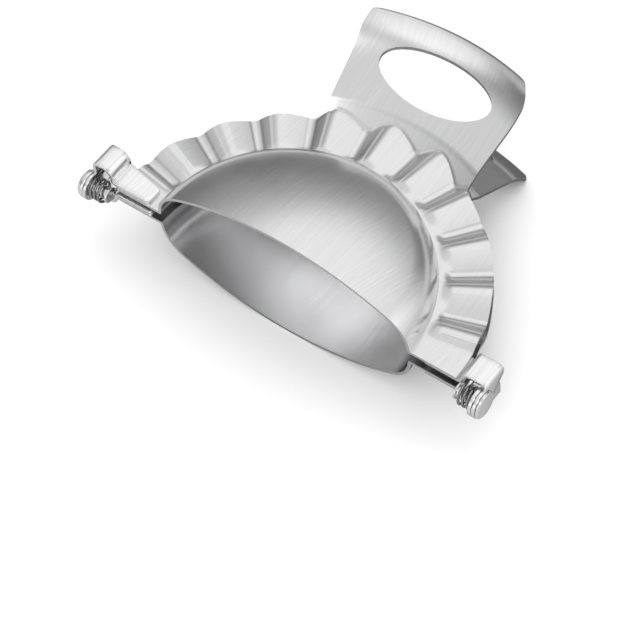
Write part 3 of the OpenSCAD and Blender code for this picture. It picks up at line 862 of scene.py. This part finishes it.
    def spring(self):
        """Spring of round wire: leg to the box above, coil round the rivet, leg to the arch below."""
        s = self.s
        thick = s.strip_sheet + s.leg_clearance
        upper = self.leg(self.coil_start, s.box_height - thick)
        lower = self.leg(self.coil_start + self.coil_length, s.arch_height - thick)
        per_turn = self.turn_points
        path = upper[::-1]
        for i in range(int(s.coil_turns * per_turn) + 1):
            a = pi / 2 + 2 * pi * i / per_turn
            x = self.coil_start + s.coil_pitch * i / per_turn
            path.append(Vector((x, s.coil_radius * cos(a) - s.pin_offset, s.coil_radius * sin(a))))
        path += [Vector((p.x, p.y, -p.z)) for p in lower]
        curve = bpy.data.curves.new("spring", "CURVE")
        curve.dimensions = "3D"
        curve.bevel_depth = s.wire / 2
        curve.bevel_resolution = 3
        curve.use_fill_caps = True
        line = curve.splines.new("POLY")
        line.points.add(len(path) - 1)
        line.points.foreach_set("co", [c for p in path for c in (*p, 1.0)])
        obj = bpy.data.objects.new("spring", curve)
        bpy.context.scene.collection.objects.link(obj)
        pick(obj)
        bpy.ops.object.convert(target="MESH")
        obj = bpy.context.object
        bpy.ops.object.mode_set(mode="EDIT")
        weld_whole(ROUND_WELD)
        bpy.ops.object.shade_smooth_by_angle(angle=WIRE_SHARP)
        return obj


TURNED_OVER = Matrix.Rotation(pi, 4, "Y")
MIRRORED = Matrix.Scale(-1, 4, (1, 0, 0))


def laid(model, name, steel_given, turn_to, place):
    """A copy of a modelled piece, with its own mesh, turned and put in its place."""
    obj = model.copy()
    obj.data = model.data.copy()
    obj.name = obj.data.name = name
    bpy.context.scene.collection.objects.link(obj)
    obj.data.transform(Matrix.Translation(place) @ turn_to)
    if turn_to.determinant() < 0:
        obj.data.flip_normals()
    obj.data.materials.clear()
    obj.data.materials.append(steel_given)
    return obj


# Materials

# Strokes are drawn out along Y, and less so by this factor upwards
UPRIGHT_FACTOR = 4

# Grain of the steel, in features per metre: streaks of shade, clouds of wear and stray scratches
STREAKS_PER_METRE = 1900.0
CLOUDS_PER_METRE = 70.0
SCRATCHES_PER_METRE = 3600.0
SCRATCH_TURN = radians(14)

# Lengths of grain across the stroke, as shares of its length
HEIGHT_STRETCH = 0.03
STREAK_STRETCH = 0.02
SCRATCH_STRETCH = 0.008

# Noise values over which a scratch shows, wear comes in, and streaks and clouds vary
SCRATCH_RANGE = (0.54, 0.72)
WORN_RANGE = (0.42, 0.62)
GRAIN_RANGE = (0.3, 0.7)

# How much a scratch brightens the steel, and how far its roughness varies
SCRATCH_GAIN = 1.08
ROUGHNESS_SPREAD = 0.2


def new_material(name):
    """An empty node material with its Principled shader."""
    material = bpy.data.materials.new(name)
    material.use_nodes = True
    tree = material.node_tree
    return material, tree, tree.nodes["Principled BSDF"]


def math_node(nodes, links, operation, first, second):
    """A Math node fed with sockets or plain numbers, and its result."""
    node = nodes.new("ShaderNodeMath")
    node.operation = operation
    for socket, value in zip(node.inputs, (first, second)):
        if isinstance(value, bpy.types.NodeSocket):
            links.new(value, socket)
        else:
            socket.default_value = value
    return node.outputs[0]


def between(nodes, links, value, low, high, to_low, to_high):
    """Maps a value from one range to another, held at both ends."""
    node = nodes.new("ShaderNodeMapRange")
    for name, number in zip(("From Min", "From Max", "To Min", "To Max"), (low, high, to_low, to_high)):
        node.inputs[name].default_value = number
    links.new(value, node.inputs["Value"])
    return node.outputs[0]


def strokes(nodes, links, place, per_metre, stretch, detail):
    """Noise drawn out along Y into strokes."""
    scaled = nodes.new("ShaderNodeVectorMath")
    scaled.operation = "MULTIPLY"
    scaled.inputs[1].default_value = (1.0, stretch, stretch * UPRIGHT_FACTOR)
    links.new(place, scaled.inputs[0])
    noise = nodes.new("ShaderNodeTexNoise")
    noise.inputs["Detail"].default_value = detail
    links.new(scaled.outputs[0], noise.inputs["Vector"])
    if isinstance(per_metre, bpy.types.NodeSocket):
        links.new(per_metre, noise.inputs["Scale"])
    else:
        noise.inputs["Scale"].default_value = per_metre
    return noise.outputs["Fac"]


def brush_group():
    """Fine strokes that run along Y, soft clouds of wear, and stray scratches."""
    name = "Brushed strokes"
    if name in bpy.data.node_groups:
        return bpy.data.node_groups[name]
    group = bpy.data.node_groups.new(name, "ShaderNodeTree")
    face = group.interface
    face.new_socket("Strokes per metre", in_out="INPUT", socket_type="NodeSocketFloat").default_value = 2500
    for output in ("Height", "Streaks", "Clouds", "Scratches"):
        face.new_socket(output, in_out="OUTPUT", socket_type="NodeSocketFloat")
    nodes, links = group.nodes, group.links
    entry, leave = nodes.new("NodeGroupInput"), nodes.new("NodeGroupOutput")
    place = nodes.new("ShaderNodeTexCoord").outputs["Object"]
    height = strokes(nodes, links, place, entry.outputs[0], HEIGHT_STRETCH, detail=3.0)
    links.new(height, leave.inputs["Height"])
    streaks = strokes(nodes, links, place, STREAKS_PER_METRE, STREAK_STRETCH, detail=5.0)
    links.new(streaks, leave.inputs["Streaks"])
    clouds = nodes.new("ShaderNodeTexNoise")
    clouds.inputs["Scale"].default_value = CLOUDS_PER_METRE
    clouds.inputs["Detail"].default_value = 3.0
    links.new(place, clouds.inputs["Vector"])
    links.new(clouds.outputs["Fac"], leave.inputs["Clouds"])
    turned = nodes.new("ShaderNodeVectorRotate")
    turned.inputs["Axis"].default_value = (0.0, 0.0, 1.0)
    turned.inputs["Angle"].default_value = SCRATCH_TURN
    links.new(place, turned.inputs["Vector"])
    fine = strokes(nodes, links, turned.outputs[0], SCRATCHES_PER_METRE, SCRATCH_STRETCH, detail=1.0)
    hair = between(nodes, links, fine, *SCRATCH_RANGE, 0.0, 1.0)
    worn = between(nodes, links, clouds.outputs["Fac"], *WORN_RANGE, 0.0, 1.0)
    links.new(math_node(nodes, links, "MULTIPLY", hair, worn), leave.inputs["Scratches"])
    return group


def steel(name, rgb, roughness, per_metre, depth, streaks=0.08):
    """Stainless steel: brushed strokes of a given depth, streaks, clouds and stray scratches."""
    material, tree, shader = new_material(name)
    nodes, links = tree.nodes, tree.links
    shader.inputs["Metallic"].default_value = 1.0
    brush = nodes.new("ShaderNodeGroup")
    brush.node_tree = brush_group()
    brush.inputs["Strokes per metre"].default_value = per_metre
    shade = between(nodes, links, brush.outputs["Streaks"], *GRAIN_RANGE, 1 - streaks, 1 + streaks / 2)
    mark = between(nodes, links, brush.outputs["Scratches"], 0.0, 1.0, 1.0, SCRATCH_GAIN)
    tint = nodes.new("ShaderNodeVectorMath")
    tint.operation = "SCALE"
    tint.inputs[0].default_value = rgb
    links.new(math_node(nodes, links, "MULTIPLY", shade, mark), tint.inputs["Scale"])
    links.new(tint.outputs[0], shader.inputs["Base Color"])
    smooth, dull = roughness * (1 - ROUGHNESS_SPREAD), roughness * (1 + ROUGHNESS_SPREAD)
    rough = between(nodes, links, brush.outputs["Clouds"], *GRAIN_RANGE, smooth, dull)
    links.new(rough, shader.inputs["Roughness"])
    bump = nodes.new("ShaderNodeBump")
    bump.inputs["Distance"].default_value = depth
    links.new(brush.outputs["Height"], bump.inputs["Height"])
    links.new(bump.outputs["Normal"], shader.inputs["Normal"])
    return material


# Operators


class PRESS_OT_leaves(bpy.types.Operator):
    """Models the pressed leaf once and lays its copy turned over below it"""

    bl_idname = "press.leaves"
    bl_label = "Pressed leaves"

    def execute(self, context):
        finish = context.scene.press_finish
        form = LeafForm(context.scene.press_leaf)
        leaf_steel = steel(
            "Brushed leaf steel", finish.leaf_colour,
            roughness=0.22, per_metre=4600, depth=0.002 * MM, streaks=0.04,
        )
        edge_steel = steel(
            "Sheared edge", finish.edge_colour, roughness=0.5, per_metre=900, depth=0.004 * MM,
        )
        upper = pressed_leaf(form, leaf_steel, edge_steel)
        upper.name = upper.data.name = "upper_pressed_leaf"
        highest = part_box("upper_leaf")[1]
        meeting = highest.z - form.s.dome_height
        lower = upper.copy()
        lower.data = upper.data.copy()
        lower.name = lower.data.name = "lower_pressed_leaf"
        context.scene.collection.objects.link(lower)
        back = highest.y - form.end_radius
        lower.data.transform(TURNED_OVER)
        for leaf, node, body in ((upper, "upper_leaf", "upper"), (lower, "lower_leaf", "lower")):
            leaf.data.transform(Matrix.Translation((0, back, meeting)))
            leaf.data.update()
            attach(leaf, body)
            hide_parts(node)
        return {"FINISHED"}


def hinge_place():
    """Where the hinge pieces' own origin lies: at the straight edges, where the leaves meet."""
    joint = frame["record"]["behaviour"]["joints"][0]
    offset = bpy.context.scene.press_hinge.pin_offset
    return Vector(joint["pos_m"]) + Vector((0, offset, 0))


def hinge_form():
    """The hinge pieces' sizes worked out."""
    scene = bpy.context.scene
    return HingeForm(scene.press_leaf, scene.press_hinge)


class PRESS_OT_brackets(bpy.types.Operator):
    """Bends the arch bracket and the box bracket and lays two copies of each"""

    bl_idname = "press.brackets"
    bl_label = "Brackets"

    def execute(self, context):
        given = steel(
            "Bracket steel", context.scene.press_finish.bracket_colour,
            roughness=0.2, per_metre=1500, depth=0.004 * MM,
        )
        form, place = hinge_form(), hinge_place()
        arch, box = form.arch_bracket(), form.box_bracket()
        ways = {
            "upper_left": (arch, MIRRORED, "upper"),
            "lower_right": (arch, TURNED_OVER @ MIRRORED, "lower"),
            "upper_right": (box, Matrix.Identity(4), "upper"),
            "lower_left": (box, TURNED_OVER, "lower"),
        }
        for corner, (model, turn_to, body) in ways.items():
            bracket = laid(model, corner + "_bent_bracket", given, turn_to, place)
            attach(bracket, body)
            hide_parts(corner + "_bracket")
        remove_helper(arch)
        remove_helper(box)
        return {"FINISHED"}


class PRESS_OT_rivets(bpy.types.Operator):
    """Turns the rivet and lays one at each end of the hinge line"""

    bl_idname = "press.rivets"
    bl_label = "Rivets"

    def execute(self, context):
        given = steel(
            "Rivet steel", context.scene.press_finish.rivet_colour,
            roughness=0.22, per_metre=2000, depth=0.005 * MM,
        )
        model, place = hinge_form().rivet(), hinge_place()
        for side, turn_to in (("right", Matrix.Identity(4)), ("left", TURNED_OVER)):
            rivet = laid(model, side + "_turned_rivet", given, turn_to, place)
            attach(rivet, "lower")
            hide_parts(side + "_rivet")
        remove_helper(model)
        return {"FINISHED"}


class PRESS_OT_springs(bpy.types.Operator):
    """Winds the spring and lays one at each end, its legs held by the two leaves' brackets"""

    bl_idname = "press.springs"
    bl_label = "Springs"

    def execute(self, context):
        given = steel(
            "Spring steel", context.scene.press_finish.spring_colour,
            roughness=0.25, per_metre=3000, depth=0.004 * MM,
        )
        form, place = hinge_form(), hinge_place()
        model = form.spring()
        ways = {
            "right": (Matrix.Identity(4), "upper", "lower"),
            "left": (TURNED_OVER, "lower", "upper"),
        }
        for side, (turn_to, box_body, arch_body) in ways.items():
            spring = laid(model, side + "_wound_spring", given, turn_to, place)
            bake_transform(spring)
            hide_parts(side + "_spring")
        remove_helper(model)
        return {"FINISHED"}


class PRESS_OT_stage(bpy.types.Operator):
    """Sets the floor, the soft lights and the camera"""

    bl_idname = "press.stage"
    bl_label = "Stage"

    def execute(self, context):
        stage = context.scene.press_stage
        deselect()
        lowest = CAD_BOX[0]
        bpy.ops.mesh.primitive_plane_add(size=FLOOR_SIZE, location=(0, 0, lowest.z))
        floor = context.object
        floor.name = "floor"
        floor.data.materials.append(self.floor_material(stage))
        self.lights(context)
        self.camera(context, stage)
        return {"FINISHED"}

    def floor_material(self, stage):
        """Pale to look at, and greyer in what the steel mirrors, most of all under the press: painted shade,
        seen only in reflections.
        """
        material, tree, shader = new_material("Pale floor")
        shader.inputs["Roughness"].default_value = 0.9
        shader.inputs["Specular IOR Level"].default_value = 0.0
        path = tree.nodes.new("ShaderNodeLightPath")
        pale = tree.nodes.new("ShaderNodeMix")
        pale.data_type = "RGBA"
        pale.inputs["B"].default_value = (*stage.floor_colour, 1)
        place = tree.nodes.new("ShaderNodeTexCoord").outputs["Object"]
        off = tree.nodes.new("ShaderNodeVectorMath")
        off.operation = "SUBTRACT"
        off.inputs[1].default_value = stage.painted_shade_middle
        tree.links.new(place, off.inputs[0])
        away = tree.nodes.new("ShaderNodeVectorMath")
        away.operation = "LENGTH"
        tree.links.new(off.outputs[0], away.inputs[0])
        # Painted shade: the mirrored floor is dimmed most under the press and pales with distance from the
        # middle
        level = between(
            tree.nodes, tree.links, away.outputs["Value"],
            stage.near_floor, stage.far_floor, stage.painted_shade_share, stage.far_share,
        )
        mirrored = tree.nodes.new("ShaderNodeVectorMath")
        mirrored.operation = "SCALE"
        mirrored.inputs[0].default_value = stage.floor_colour
        tree.links.new(level, mirrored.inputs["Scale"])
        tree.links.new(mirrored.outputs[0], pale.inputs["A"])
        # Seen straight on the floor keeps its pale colour; in reflections it shows the painted shade
        tree.links.new(path.outputs["Is Camera Ray"], pale.inputs["Factor"])
        tree.links.new(pale.outputs["Result"], shader.inputs["Base Color"])
        return material

    def lights(self, context):
        """A soft light tent: dim at the horizon, bright overhead, with glows from single sides."""
        stage = context.scene.press_stage
        world = context.scene.world or bpy.data.worlds.new("Studio")
        context.scene.world = world
        world.use_nodes = True
        nodes, links = world.node_tree.nodes, world.node_tree.links
        background = nodes["Background"]
        place = nodes.new("ShaderNodeTexCoord")
        parts = nodes.new("ShaderNodeSeparateXYZ")
        links.new(place.outputs["Generated"], parts.inputs[0])
        height = nodes.new("ShaderNodeValToRGB")
        ramp = height.color_ramp
        ramp.interpolation = "B_SPLINE"
        while len(ramp.elements) < len(TENT_STOPS):
            ramp.elements.new(1.0)
        for element, (at, level) in zip(ramp.elements, TENT_STOPS):
            element.position = at
            element.color = (level, level, level, 1)
        links.new(parts.outputs["Z"], height.inputs["Fac"])
        total = height.outputs["Color"]
        for direction, start, full, level in TENT_GLOWS:
            towards = nodes.new("ShaderNodeVectorMath")
            towards.operation = "DOT_PRODUCT"
            towards.inputs[1].default_value = direction
            links.new(place.outputs["Generated"], towards.inputs[0])
            glow = nodes.new("ShaderNodeMapRange")
            glow.interpolation_type = "SMOOTHSTEP"
            glow.inputs["From Min"].default_value = start
            glow.inputs["From Max"].default_value = full
            glow.inputs["To Max"].default_value = level
            links.new(towards.outputs["Value"], glow.inputs["Value"])
            add = nodes.new("ShaderNodeVectorMath")
            add.operation = "ADD"
            links.new(total, add.inputs[0])
            links.new(glow.outputs[0], add.inputs[1])
            total = add.outputs[0]
        path = nodes.new("ShaderNodeLightPath")
        backdrop = nodes.new("ShaderNodeMix")
        backdrop.data_type = "RGBA"
        backdrop.inputs["B"].default_value = (1, 1, 1, 1)
        links.new(path.outputs["Is Camera Ray"], backdrop.inputs["Factor"])
        strength = between(
            nodes, links, path.outputs["Is Diffuse Ray"], 0.0, 1.0,
            stage.tent_strength, stage.tent_strength * (1 + stage.floor_light),
        )
        dimmed = nodes.new("ShaderNodeVectorMath")
        dimmed.operation = "SCALE"
        links.new(total, dimmed.inputs[0])
        links.new(strength, dimmed.inputs["Scale"])
        links.new(dimmed.outputs[0], backdrop.inputs["A"])
        links.new(backdrop.outputs["Result"], background.inputs["Color"])
        context.scene.view_settings.view_transform = "Standard"

    def camera(self, context, stage):
        """The camera, turned about its own axis as the photograph was."""
        data = bpy.data.cameras.new("camera")
        data.lens = stage.focal_length
        data.sensor_width = 36.0
        camera = bpy.data.objects.new("camera", data)
        context.scene.collection.objects.link(camera)
        a, e, roll = stage.camera_azimuth, stage.camera_elevation, stage.camera_roll
        back = Vector((sin(a) * cos(e), -cos(a) * cos(e), sin(e)))
        right = Vector((cos(a), sin(a), 0))
        up = back.cross(right)
        turned_right = cos(roll) * right + sin(roll) * up
        turned_up = -sin(roll) * right + cos(roll) * up
        facing = Matrix((turned_right, turned_up, back)).transposed().to_4x4()
        camera.matrix_world = Matrix.Translation(Vector(stage.aim) + back * stage.camera_distance) @ facing
        context.scene.camera = camera


class PRESS_PT_panel(bpy.types.Panel):
    """Lists the steps that build the press"""

    bl_idname = "PRESS_PT_panel"
    bl_label = "Pastry press"
    bl_space_type = "VIEW_3D"
    bl_region_type = "UI"
    bl_category = "Press"

    def draw(self, context):
        for step in STEPS:
            self.layout.operator(step.bl_idname)


STEPS = (PRESS_OT_leaves, PRESS_OT_brackets, PRESS_OT_rivets, PRESS_OT_springs, PRESS_OT_stage)
CLASSES = (PressLeafSizes, PressHingeSizes, PressFinish, PressStage, *STEPS, PRESS_PT_panel)


def register():
    """Registers the classes and hangs the settings on the scene."""
    for part in CLASSES:
        bpy.utils.register_class(part)
    bpy.types.Scene.press_leaf = PointerProperty(type=PressLeafSizes)
    bpy.types.Scene.press_hinge = PointerProperty(type=PressHingeSizes)
    bpy.types.Scene.press_finish = PointerProperty(type=PressFinish)
    bpy.types.Scene.press_stage = PointerProperty(type=PressStage)


def unregister():
    """Takes the settings and classes away again."""
    del bpy.types.Scene.press_stage
    del bpy.types.Scene.press_finish
    del bpy.types.Scene.press_hinge
    del bpy.types.Scene.press_leaf
    for part in reversed(CLASSES):
        bpy.utils.unregister_class(part)


def main():
    """Builds every piece."""
    register()
    bpy.ops.press.leaves()
    bpy.ops.press.brackets()
    bpy.ops.press.rivets()
    bpy.ops.press.springs()
    bpy.ops.press.stage()
    deselect()


if __name__ == "__main__":
    main()
